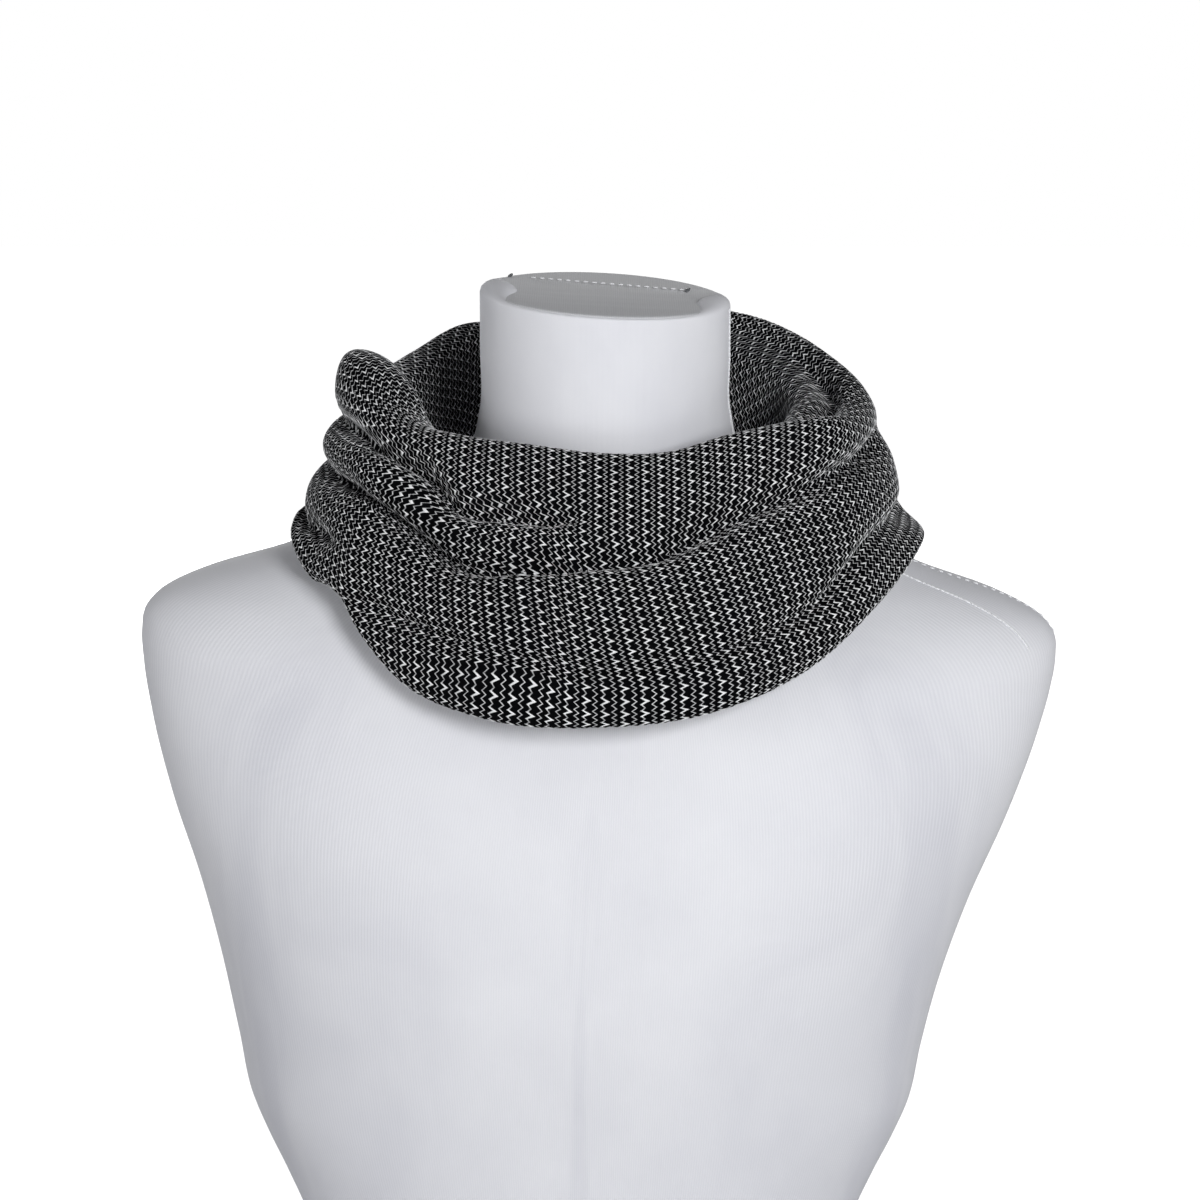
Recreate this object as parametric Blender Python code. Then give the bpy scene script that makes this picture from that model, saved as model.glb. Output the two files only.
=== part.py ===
# Infinity scarf worn on a limbless dress form.
# Metres, +Z up. The form stands on its flat waist at z = 0 and its front faces -Y.
# Angles run round the neck in degrees: 0 is the front, 90 is +X, -90 is -X, 180 is the back.

import bpy
import numpy as np

# Driving dimensions
CLOTH_THICKNESS = 0.0025
CLOTH_TO_FORM = 0.0010
WELL_DEPTH = 0.052          # how far the inner layer hangs down inside the rim
WELL_FLARE = 0.004
BEND_RADIUS = 0.0026        # the tightest bend the thick knit takes
HEM_ROLL = 0.015            # how thick the rolled hem is from front to back
HEM_TUCK = 0.020            # how far the hidden layer reaches up behind the hem
SCARF_COLUMNS = 60
SCARF_ROWS = 36
FORM_COLUMNS = 52
NECK_TOP = 0.4955           # middle of the neck's top face
NECK_BASE = 0.420
NECK_SLOPE_BACK = 0.080     # the top face rises towards the back
NECK_SLOPE_SIDE = -0.055    # and falls towards +X
TORSO_SHIFT = -0.0125       # the torso's middle lies towards -X of the neck
SHOULDER_TIP = 0.030        # and its shoulders drop towards +X by this slope
CAP_THICKNESS = 0.0020
CAP_INSET = 0.0012
PART_GAP = 0.0003

# Horizontal sections of the form: half width, reach to the front and back, squareness
FORM_SECTIONS = (
    # height, half_width, front, back, squareness
    (0.000, 0.134, 0.098, 0.072, 2.3),
    (0.030, 0.138, 0.100, 0.074, 2.3),
    (0.057, 0.149, 0.104, 0.077, 2.3),
    (0.078, 0.159, 0.108, 0.080, 2.3),
    (0.095, 0.166, 0.111, 0.083, 2.3),
    (0.125, 0.172, 0.116, 0.087, 2.3),
    (0.165, 0.181, 0.121, 0.092, 2.3),
    (0.205, 0.193, 0.122, 0.097, 2.3),
    (0.245, 0.208, 0.119, 0.101, 2.3),
    (0.285, 0.220, 0.110, 0.103, 2.3),
    (0.310, 0.2255, 0.101, 0.102, 2.2),
    (0.325, 0.227, 0.094, 0.100, 2.2),
    (0.337, 0.225, 0.087, 0.097, 2.1),
    (0.346, 0.216, 0.079, 0.094, 2.1),
    (0.355, 0.197, 0.071, 0.091, 2.1),
    (0.366, 0.163, 0.066, 0.087, 2.0),
    (0.380, 0.131, 0.0645, 0.083, 2.0),
    (0.395, 0.103, 0.064, 0.078, 2.0),
    (0.410, 0.082, 0.063, 0.073, 2.0),
    (0.422, 0.068, 0.0625, 0.069, 2.0),
    (0.440, 0.062, 0.062, 0.065, 2.0),
    (0.470, 0.0615, 0.0615, 0.0625, 2.0),
    (0.4955, 0.0615, 0.0615, 0.0615, 2.0),
)

# Vertical sections of the draped loop: the rim at the neck, the crest above it, three
# widths down the outer face and the hem
SCARF_SECTIONS = (
    # angle, rim_r, rim_z, crest_r, crest_z, upper_r, middle_r, lower_r, hem_r, hem_z
    (-160, 0.104, 0.467, 0.115, 0.472, 0.128, 0.136, 0.139, 0.134, 0.345),
    (-140, 0.106, 0.466, 0.118, 0.472, 0.131, 0.139, 0.142, 0.137, 0.352),
    (-126, 0.109, 0.456, 0.121, 0.461, 0.133, 0.141, 0.146, 0.142, 0.364),
    (-114, 0.112, 0.450, 0.124, 0.455, 0.132, 0.141, 0.148, 0.146, 0.374),
    (-100, 0.105, 0.459, 0.127, 0.467, 0.135, 0.142, 0.149, 0.152, 0.378),
    (-86, 0.093, 0.449, 0.127, 0.463, 0.1355, 0.143, 0.149, 0.156, 0.373),
    (-74, 0.089, 0.437, 0.122, 0.448, 0.136, 0.144, 0.150, 0.157, 0.364),
    (-60, 0.087, 0.432, 0.112, 0.438, 0.137, 0.143, 0.149, 0.152, 0.359),
    (-52, 0.086, 0.4315, 0.106, 0.437, 0.134, 0.141, 0.148, 0.150, 0.341),
    (-45, 0.085, 0.431, 0.101, 0.436, 0.131, 0.140, 0.147, 0.148, 0.327),
    (-25, 0.082, 0.430, 0.095, 0.434, 0.123, 0.139, 0.147, 0.145, 0.311),
    (0, 0.080, 0.427, 0.092, 0.430, 0.119, 0.138, 0.147, 0.144, 0.309),
    (20, 0.080, 0.427, 0.093, 0.430, 0.120, 0.138, 0.148, 0.146, 0.314),
    (40, 0.084, 0.433, 0.098, 0.437, 0.125, 0.140, 0.150, 0.150, 0.329),
    (60, 0.093, 0.436, 0.121, 0.442, 0.134, 0.143, 0.151, 0.154, 0.354),
    (75, 0.089, 0.436, 0.125, 0.442, 0.138, 0.145, 0.151, 0.158, 0.371),
    (90, 0.091, 0.439, 0.128, 0.445, 0.140, 0.145, 0.150, 0.157, 0.374),
    (105, 0.097, 0.441, 0.128, 0.454, 0.137, 0.142, 0.150, 0.152, 0.372),
    (120, 0.103, 0.451, 0.124, 0.465, 0.134, 0.140, 0.146, 0.144, 0.366),
    (140, 0.101, 0.463, 0.119, 0.477, 0.130, 0.137, 0.142, 0.138, 0.350),
    (160, 0.101, 0.469, 0.115, 0.480, 0.127, 0.134, 0.138, 0.134, 0.344),
    (180, 0.102, 0.468, 0.114, 0.475, 0.127, 0.134, 0.137, 0.132, 0.342),
)

# Creases. A path on the outer face is (angle, height), and on the top it is (angle, radius).
# Rise is how far the crease runs up under the fold above it, and each end dies out over its
# own fade angle.
CREASES = (
    # name, face, path, depth, width, rise, start_fade, end_fade
    ("upper_left", "outer",
     ((-94, 0.424), (-67, 0.416), (-48, 0.406), (-36, 0.400), (-24, 0.400), (-8, 0.400)),
     0.016, 0.0055, 0.45, 44, 9),
    ("middle_left", "outer",
     ((-90, 0.409), (-68, 0.400), (-54, 0.391), (-41, 0.384), (-31, 0.382), (-12, 0.381)),
     0.014, 0.0055, 0.45, 44, 8),
    ("lower_front", "outer",
     ((-52, 0.360), (-18, 0.342), (9, 0.338), (42, 0.359), (60, 0.381), (70, 0.386)),
     0.009, 0.0075, 0.35, 16, 16),
    ("upper_right", "outer",
     ((6, 0.382), (21, 0.388), (31, 0.394), (46, 0.403), (66, 0.411), (92, 0.413)),
     0.015, 0.0060, 0.40, 14, 24),
    ("top_right", "top", ((66, 0.104), (84, 0.108), (100, 0.112), (118, 0.112)), 0.011, 0.0065, 0.00, 16, 14),
    ("back_right", "outer", ((104, 0.418), (128, 0.416), (158, 0.406)), 0.011, 0.0065, 0.40, 16, 12),
    ("back_middle", "outer", ((112, 0.386), (150, 0.376), (196, 0.380), (232, 0.392)), 0.009, 0.0070, 0.35, 16, 16),
    ("back_left", "outer", ((176, 0.430), (208, 0.422), (246, 0.428)), 0.011, 0.0060, 0.40, 12, 20),
)


def hermite(knots, values, query):
    """Smooth curve through the values, which may have more columns, at rising knots."""
    knots = np.asarray(knots, float)
    values = np.asarray(values, float)
    gaps = np.diff(knots).reshape((-1,) + (1,) * (values.ndim - 1))
    steps = np.diff(values, axis=0) / gaps
    slopes = np.empty_like(values)
    slopes[0], slopes[-1] = steps[0], steps[-1]
    slopes[1:-1] = (steps[:-1] * gaps[1:] + steps[1:] * gaps[:-1]) / (gaps[1:] + gaps[:-1])
    query = np.asarray(query, float)
    at = np.clip(np.searchsorted(knots, query, side="right") - 1, 0, len(knots) - 2)
    shape = query.shape + (1,) * (values.ndim - 1)
    gap = (knots[at + 1] - knots[at]).reshape(shape)
    t = ((query - knots[at]).reshape(shape)) / gap
    return ((1 + 2 * t) * (1 - t) ** 2 * values[at] + t * (1 - t) ** 2 * gap * slopes[at]
            + t * t * (3 - 2 * t) * values[at + 1] + t * t * (t - 1) * gap * slopes[at + 1])


def smooth_step(value):
    value = np.clip(value, 0, 1)
    return value * value * (3 - 2 * value)


def form_size(height):
    """Half width, front, back and squareness of the form at each height."""
    table = np.array(FORM_SECTIONS)
    return np.moveaxis(hermite(table[:, 0], table[:, 1:], np.clip(height, 0, NECK_TOP)), -1, 0)


def form_lean(height):
    """Sideways shift of the torso's middle, and the slope of its shoulders, at a height."""
    shift = TORSO_SHIFT * smooth_step((NECK_BASE - height) / 0.30)
    tip = SHOULDER_TIP * smooth_step(height / 0.20) * smooth_step((NECK_BASE - height) / 0.04)
    return shift, tip


def form_ring(height, turn):
    """Points of one section of the form at the given angles in radians."""
    half_width, front, back, square = form_size(np.array(height))
    across, along = np.sin(turn), -np.cos(turn)
    depth = np.where(along < 0, front, back)
    reach = (np.abs(across / half_width) ** square + np.abs(along / depth) ** square) ** (-1 / square)
    shift, tip = form_lean(height)
    x, y = reach * across, reach * along
    top = smooth_step((height - NECK_BASE - 0.02) / (NECK_TOP - NECK_BASE - 0.02))
    z = height - tip * x + top * (NECK_SLOPE_BACK * y + NECK_SLOPE_SIDE * x)
    return np.stack([x + shift, y, z], axis=-1)


def form_reach(points):
    """Ratio of each point's distance from the form's axis to the form's own there."""
    x, y, z = points[..., 0], points[..., 1], points[..., 2]
    shift, tip = form_lean(z)
    z = z + tip * x
    half_width, front, back, square = form_size(z)
    depth = np.where(y < 0, front, back)
    return (np.abs((x - shift) / half_width) ** square + np.abs(y / depth) ** square) ** (1 / square)


def clear_of_form(points, distance):
    """Move points that are closer to the form than the distance out along its slope."""
    step = 0.0005
    for _ in range(6):
        value = form_reach(points)
        slope = np.stack([(form_reach(points + step * axis) - value) / step for axis in np.eye(3)], axis=-1)
        size = np.linalg.norm(slope, axis=-1)
        short = np.clip(distance - (value - 1) / size, 0, 0.006)
        points = points + slope * (short / size)[..., None]
    return points


def resting_height(angle, radius):
    """Lowest height at which cloth lies clear above the shoulder at a radius from the neck's axis."""
    turn = np.radians(angle)
    heights = np.linspace(NECK_TOP, 0.300, 400)
    points = np.stack([radius * np.sin(turn) + 0 * heights, -radius * np.cos(turn) + 0 * heights, heights], axis=1)
    inside = form_reach(points) < 1
    return heights[np.argmax(inside)] + 2 * CLOTH_THICKNESS if inside.any() else 0


def draped_section(angle, section):
    """Points of the loop in (radius, height) at one angle, from the well over the rim to the tuck."""
    rim_r, rim_z, crest_r, crest_z, upper_r, middle_r, lower_r, hem_r, hem_z = section
    well_r = rim_r + WELL_FLARE
    bottom_r, under_r, tuck_r = hem_r - 0.5 * HEM_ROLL, hem_r - HEM_ROLL, hem_r - 1.6 * HEM_ROLL
    well_z = max(rim_z - WELL_DEPTH, resting_height(angle, well_r))
    hem_z = max(hem_z, resting_height(angle, bottom_r))
    under_z = max(hem_z + 0.5 * HEM_ROLL, resting_height(angle, under_r))
    drop = hem_z - crest_z
    tuck_z = max(hem_z - HEM_TUCK * drop / 0.12, resting_height(angle, tuck_r))
    return np.array([
        (well_r, well_z),
        (rim_r, 0.5 * (rim_z + well_z)),
        (rim_r, rim_z),
        (crest_r, crest_z),
        (upper_r, crest_z + 0.30 * drop),
        (middle_r, crest_z + 0.55 * drop),
        (lower_r, crest_z + 0.78 * drop),
        (hem_r, hem_z + 0.5 * HEM_ROLL),
        (bottom_r, hem_z),
        (under_r, under_z),
        (tuck_r, tuck_z),
    ])


def profile_at(angle, samples):
    """Smooth profile at one angle, and how far along it each sample lies."""
    table = np.array(SCARF_SECTIONS, float)
    turns = np.concatenate([table[-4:, 0] - 360, table[:, 0], table[:4, 0] + 360])
    rows = np.concatenate([table[-4:, 1:], table[:, 1:], table[:4, 1:]])
    points = draped_section(angle, hermite(turns, rows, np.array(angle)))
    spans = np.sqrt(np.linalg.norm(np.diff(points, axis=0), axis=1))
    knots = np.concatenate([[0], np.cumsum(spans)])
    profile = hermite(knots, points, np.linspace(0, knots[-1], samples))
    return profile, along(profile)


def rounded(line, radius):
    """The line with bends tighter than the radius eased, and its ends kept."""
    spacing = along(line)[-1] / (len(line) - 1)
    reach = int(np.ceil(3 * radius / spacing))
    kernel = np.exp(-0.5 * (np.arange(-reach, reach + 1) * spacing / radius) ** 2)
    kernel /= kernel.sum()
    padded = np.concatenate([2 * line[0] - line[reach:0:-1], line, 2 * line[-1] - line[-2:-reach - 2:-1]])
    return np.stack([np.convolve(values, kernel, mode="valid") for values in padded.T], axis=1)


def along(line):
    """Distance along a line at each of its points."""
    return np.concatenate([[0], np.cumsum(np.linalg.norm(np.diff(line, axis=0), axis=1))])


def crease_strength(path, start_fade, end_fade, angle):
    """1 in the middle of a crease, falling to 0 past its ends, and its path's value at the angle."""
    path = np.array(path)
    middle = 0.5 * (path[0, 0] + path[-1, 0])
    angle = (angle - middle + 180) % 360 - 180 + middle
    start = smooth_step(0.5 + (angle - path[0, 0]) / start_fade)
    end = smooth_step(0.5 + (path[-1, 0] - angle) / end_fade)
    where = hermite(path[:, 0], path[:, 1], np.clip(angle, path[0, 0], path[-1, 0]))
    return float(start * end), float(where)


def creased(profile, distance, angle):
    """The profile with each crease pushed in along its rise."""
    tangent = np.gradient(profile, distance, axis=0)
    tangent /= np.linalg.norm(tangent, axis=1)[:, None]
    normal = np.stack([-tangent[:, 1], tangent[:, 0]], axis=1)
    crest = int(np.argmax(profile[:, 1]))
    hem = crest + int(np.argmin(profile[crest:, 1]))
    moved = profile.copy()
    for _, face, path, depth, width, rise, start_fade, end_fade in CREASES:
        strength, where = crease_strength(path, start_fade, end_fade, angle)
        if strength == 0:
            continue
        if face == "outer":
            place = crest + int(np.argmin(np.abs(profile[crest:hem, 1] - where)))
        else:
            rim = int(np.argmin(profile[:crest, 0]))
            place = rim + int(np.argmin(np.abs(profile[rim:crest, 0] - where)))
        away = distance - distance[place]
        dip = np.exp(-(np.sqrt(away ** 2 + (0.4 * width) ** 2) - 0.4 * width) / width)
        inward = strength * depth * dip[:, None]
        moved -= inward * (normal * np.sqrt(1 - rise ** 2) + tangent * rise)
    return moved


def crowded_places(line, count):
    """Positions of points along a line, closer together where it bends."""
    distance = along(line)
    direction = np.gradient(line, distance, axis=0)
    bend = np.linalg.norm(np.gradient(direction, distance, axis=0), axis=1)
    crowding = 1 + 0.004 * np.minimum(bend, 500)
    weight = np.concatenate([[0], np.cumsum(0.5 * (crowding[1:] + crowding[:-1]) * np.diff(distance))])
    return np.interp(np.linspace(0, weight[-1], count), weight, np.arange(len(weight)))


def scarf_points(angles, rows):
    """Outer face of the cloth: a column of points, well to tuck, at each angle."""
    columns = []
    for angle in angles:
        line = rounded(creased(*profile_at(angle, 400), angle), BEND_RADIUS)
        places = crowded_places(line, rows)
        radius = np.interp(places, np.arange(len(line)), line[:, 0])
        height = np.interp(places, np.arange(len(line)), line[:, 1])
        turn = np.radians(angle)
        columns.append(np.stack([radius * np.sin(turn), -radius * np.cos(turn), height], axis=1))
    return clear_of_form(np.array(columns), CLOTH_THICKNESS + CLOTH_TO_FORM)


def grid_normals(grid):
    """Unit normals of a grid that closes on itself in its first direction."""
    around = np.roll(grid, -1, axis=0) - np.roll(grid, 1, axis=0)
    down = np.gradient(grid, axis=1)
    normal = np.cross(around, down)
    return -normal / np.linalg.norm(normal, axis=-1)[..., None]


def fabric(name, color, roughness):
    material = bpy.data.materials.new(name)
    material.use_nodes = True
    shader = material.node_tree.nodes["Principled BSDF"]
    shader.inputs["Base Color"].default_value = (*color, 1)
    shader.inputs["Roughness"].default_value = roughness
    shader.inputs["Metallic"].default_value = 0
    return material


def add_part(name, points, faces, material, collection):
    mesh = bpy.data.meshes.new(name)
    mesh.from_pydata([tuple(p) for p in points], [], faces)
    mesh.materials.append(material)
    mesh.shade_smooth()
    mesh.set_sharp_from_angle(angle=np.radians(50))
    part = bpy.data.objects.new(name, mesh)
    collection.objects.link(part)
    return part


def loft(rings):
    """Quads between closed rings of equal count, with the first ring lowest, and both ends closed."""
    levels, count = rings.shape[:2]
    faces = []
    for level in range(levels - 1):
        for i in range(count):
            j = (i + 1) % count
            faces.append((level * count + i, level * count + j, (level + 1) * count + j, (level + 1) * count + i))
    faces.append(tuple(reversed(range(count))))
    faces.append(tuple((levels - 1) * count + i for i in range(count)))
    return rings.reshape(-1, 3), faces


def add_torso(collection):
    """The form, one solid from its flat waist to the top of its neck."""
    turn = np.radians(np.arange(FORM_COLUMNS) * 360 / FORM_COLUMNS)
    heights = [row[0] for row in FORM_SECTIONS]
    rings = np.array([form_ring(height, turn) for height in heights])
    jersey = fabric("white jersey", (0.76, 0.78, 0.82), 0.75)
    return add_part("form_torso", *loft(rings), jersey, collection)


def add_neck_cap(collection):
    """The panel of cloth that closes the top of the neck."""
    turn = np.radians(np.arange(FORM_COLUMNS) * 360 / FORM_COLUMNS)
    rim = form_ring(NECK_TOP, turn)
    middle = rim.mean(axis=0)
    flat = middle + (rim - middle) * (1 - CAP_INSET / np.linalg.norm(rim - middle, axis=1))[:, None]
    lift = np.array([0, 0, 1])
    rings = np.array([flat + PART_GAP * lift, flat + (PART_GAP + CAP_THICKNESS) * lift])
    lining = fabric("grey jersey", (0.33, 0.34, 0.36), 0.85)
    return add_part("form_neck_cap", *loft(rings), lining, collection)


def add_scarf(collection):
    """The knitted loop: one wall of cloth all the way round, with open well and hem."""
    angles = np.arange(SCARF_COLUMNS) * 360 / SCARF_COLUMNS - 180
    outer = scarf_points(angles, SCARF_ROWS)
    inner = outer - CLOTH_THICKNESS * grid_normals(outer)
    points = np.concatenate([outer.reshape(-1, 3), inner.reshape(-1, 3)])
    back = SCARF_COLUMNS * SCARF_ROWS
    faces = []
    for i in range(SCARF_COLUMNS):
        j = (i + 1) % SCARF_COLUMNS
        a, b = i * SCARF_ROWS, j * SCARF_ROWS
        for k in range(SCARF_ROWS - 1):
            faces.append((a + k, a + k + 1, b + k + 1, b + k))
            faces.append((back + a + k, back + b + k, back + b + k + 1, back + a + k + 1))
        last = SCARF_ROWS - 1
        faces.append((a, b, back + b, back + a))
        faces.append((a + last, back + a + last, back + b + last, b + last))
    knit = fabric("black and white knit", (0.08, 0.08, 0.09), 0.9)
    return add_part("scarf_loop", points, faces, knit, collection)


def main():
    for old in list(bpy.data.objects):
        bpy.data.objects.remove(old, do_unlink=True)
    collection = bpy.data.collections.new("infinity_scarf_on_dress_form")
    bpy.context.scene.collection.children.link(collection)
    add_torso(collection)
    add_neck_cap(collection)
    add_scarf(collection)


main()
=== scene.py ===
import math

import bpy
import numpy as np
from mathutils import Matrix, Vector


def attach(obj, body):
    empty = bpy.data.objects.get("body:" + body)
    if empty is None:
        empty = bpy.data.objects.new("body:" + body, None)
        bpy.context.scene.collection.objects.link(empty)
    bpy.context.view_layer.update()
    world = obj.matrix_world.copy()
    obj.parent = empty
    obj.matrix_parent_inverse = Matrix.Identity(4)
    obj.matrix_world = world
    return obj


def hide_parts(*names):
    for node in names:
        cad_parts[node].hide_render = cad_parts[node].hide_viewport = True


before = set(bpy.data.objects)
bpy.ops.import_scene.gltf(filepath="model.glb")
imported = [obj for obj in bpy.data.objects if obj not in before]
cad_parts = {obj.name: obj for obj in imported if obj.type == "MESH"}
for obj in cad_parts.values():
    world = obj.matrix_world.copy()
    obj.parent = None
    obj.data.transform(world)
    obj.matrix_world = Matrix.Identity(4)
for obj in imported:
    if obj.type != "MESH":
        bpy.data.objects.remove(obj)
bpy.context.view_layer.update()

# Infinity scarf on a limbless dress form: metres, +Z up, the form's front faces -Y.
# Angles round the neck are in degrees: 0 is the front, 90 is +X, -90 is -X, 180 is the back.
print("frame loaded")


def srgb(code, alpha=1.0):
    # sRGB hex to linear
    channels = [int(code[i:i + 2], 16) / 255 for i in (0, 2, 4)]
    return tuple(c / 12.92 if c <= 0.04045 else ((c + 0.055) / 1.055) ** 2.4 for c in channels) + (alpha,)


def addNode(tree, kind, inputs=None, **settings):
    # a node with its settings, and each input given a value or linked to another node's output
    node = tree.nodes.new(kind)
    for name, value in settings.items():
        setattr(node, name, value)
    for key, value in (inputs or {}).items():
        if isinstance(value, bpy.types.NodeSocket):
            tree.links.new(value, node.inputs[key])
        else:
            node.inputs[key].default_value = value
    return node


def newMaterial(name, **constants):
    material = bpy.data.materials.new(name)
    material.use_nodes = True
    shader = material.node_tree.nodes["Principled BSDF"]
    for socket, value in constants.items():
        shader.inputs[socket.replace("_", " ")].default_value = value
    return material, material.node_tree, shader


def newMesh(name, points, faces, material, vectors=None):
    # vectors: extra per-point coordinates that the material reads, by attribute name
    mesh = bpy.data.meshes.new(name)
    mesh.from_pydata([tuple(p) for p in np.asarray(points).reshape(-1, 3)], [], [tuple(f) for f in faces])
    for label, values in (vectors or {}).items():
        attribute = mesh.attributes.new(label, "FLOAT_VECTOR", "POINT")
        attribute.data.foreach_set("vector", np.asarray(values, np.float32).reshape(-1))
    mesh.shade_smooth()
    mesh.materials.append(material)
    piece = bpy.data.objects.new(name, mesh)
    bpy.context.scene.collection.objects.link(piece)
    return piece


def hermite(darkEnds, values, query):
    # smooth curve through the values, which may have more columns, at rising knots
    darkEnds, values, query = (np.asarray(item, float) for item in (darkEnds, values, query))
    gaps = np.diff(darkEnds).reshape((-1,) + (1,) * (values.ndim - 1))
    steps = np.diff(values, axis=0) / gaps
    slopes = np.empty_like(values)
    slopes[0], slopes[-1] = steps[0], steps[-1]
    slopes[1:-1] = (steps[:-1] * gaps[1:] + steps[1:] * gaps[:-1]) / (gaps[1:] + gaps[:-1])
    at = np.clip(np.searchsorted(darkEnds, query, side="right") - 1, 0, len(darkEnds) - 2)
    shape = query.shape + (1,) * (values.ndim - 1)
    gap = (darkEnds[at + 1] - darkEnds[at]).reshape(shape)
    t = (query - darkEnds[at]).reshape(shape) / gap
    return ((1 + 2 * t) * (1 - t) ** 2 * values[at] + t * (1 - t) ** 2 * gap * slopes[at]
            + t * t * (3 - 2 * t) * values[at + 1] + t * t * (t - 1) * gap * slopes[at + 1])


def smoothStep(value):
    value = np.clip(value, 0, 1)
    return value * value * (3 - 2 * value)


def along(line):
    # distance along a line at each of its points
    return np.concatenate([[0], np.cumsum(np.linalg.norm(np.diff(line, axis=0), axis=1))])


view = {
    "target": (-0.0025, 0.0, 0.345),
    "distance": 1.988,
    "elevation": 10.0,
    "lens": 120.0,
    "sensorWidth": 36.0,
    "floorReach": 6.0,
    "floorDrop": 0.001,       # keeps the floor just clear of the form's flat waist
    "floorColor": "C8C8C8",
    "floorGlow": 0.97,
    "backdrop": 1.0,
    "ambient": 0.14,
    "lamps": (
        # name, place, size, power
        ("right softbox", (0.85, -2.10, 1.00), 0.7, 30.0),
        ("left fill", (-1.90, -1.35, 0.45), 0.9, 14.0),
        ("right fill", (1.95, -1.25, 0.40), 0.9, 6.0),
        ("back softbox", (-0.40, 2.30, 0.50), 1.2, 28.0),
    ),
}


def addCamera():
    rise = math.radians(view["elevation"])
    out = Vector((0, -math.cos(rise), math.sin(rise)))
    camera = bpy.data.objects.new("camera", bpy.data.cameras.new("camera"))
    camera.data.lens = view["lens"]
    camera.data.sensor_width = view["sensorWidth"]
    camera.location = Vector(view["target"]) + out * view["distance"]
    camera.rotation_euler = (-out).to_track_quat("-Z", "Y").to_euler()
    bpy.context.scene.collection.objects.link(camera)
    bpy.context.scene.camera = camera


def addLamp(name, place, size, power):
    lamp = bpy.data.objects.new(name, bpy.data.lights.new(name, "AREA"))
    lamp.data.size = size
    lamp.data.energy = power
    lamp.location = place
    lamp.rotation_euler = (Vector(view["target"]) - Vector(place)).to_track_quat("-Z", "Y").to_euler()
    bpy.context.scene.collection.objects.link(lamp)


def addRoom():
    # the room is seen as plain white and lights the object more gently
    world = bpy.data.worlds.new("pale room")
    bpy.context.scene.world = world
    world.use_nodes = True
    tree = world.node_tree
    seen = addNode(tree, "ShaderNodeLightPath").outputs["Is Camera Ray"]
    strength = addNode(tree, "ShaderNodeMapRange", {0: seen, 3: view["ambient"], 4: view["backdrop"]})
    tree.nodes["Background"].inputs["Color"].default_value = srgb("FFFFFF")
    tree.links.new(strength.outputs[0], tree.nodes["Background"].inputs["Strength"])
    # painted board: matt and pale, so it stays plain
    board, tree, shader = newMaterial("matt painted board", Roughness=0.95, Specular_IOR_Level=0.1)
    shader.inputs["Base Color"].default_value = srgb(view["floorColor"])
    shader.inputs["Emission Color"].default_value = srgb("FFFFFF")
    seen = addNode(tree, "ShaderNodeLightPath").outputs["Is Camera Ray"]
    glow = addNode(tree, "ShaderNodeMath", {0: seen, 1: view["floorGlow"]}, operation="MULTIPLY")
    tree.links.new(glow.outputs[0], shader.inputs["Emission Strength"])
    reach, level = view["floorReach"], -view["floorDrop"]
    corners = [(-reach, -reach, level), (reach, -reach, level), (reach, reach, level), (-reach, reach, level)]
    floor = newMesh("floor", corners, [(0, 1, 2, 3)], board)
    for lamp in view["lamps"]:
        addLamp(*lamp)
    bpy.context.scene.view_settings.view_transform = "Standard"


addCamera()
addRoom()
print("camera, floor and light done")


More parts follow.
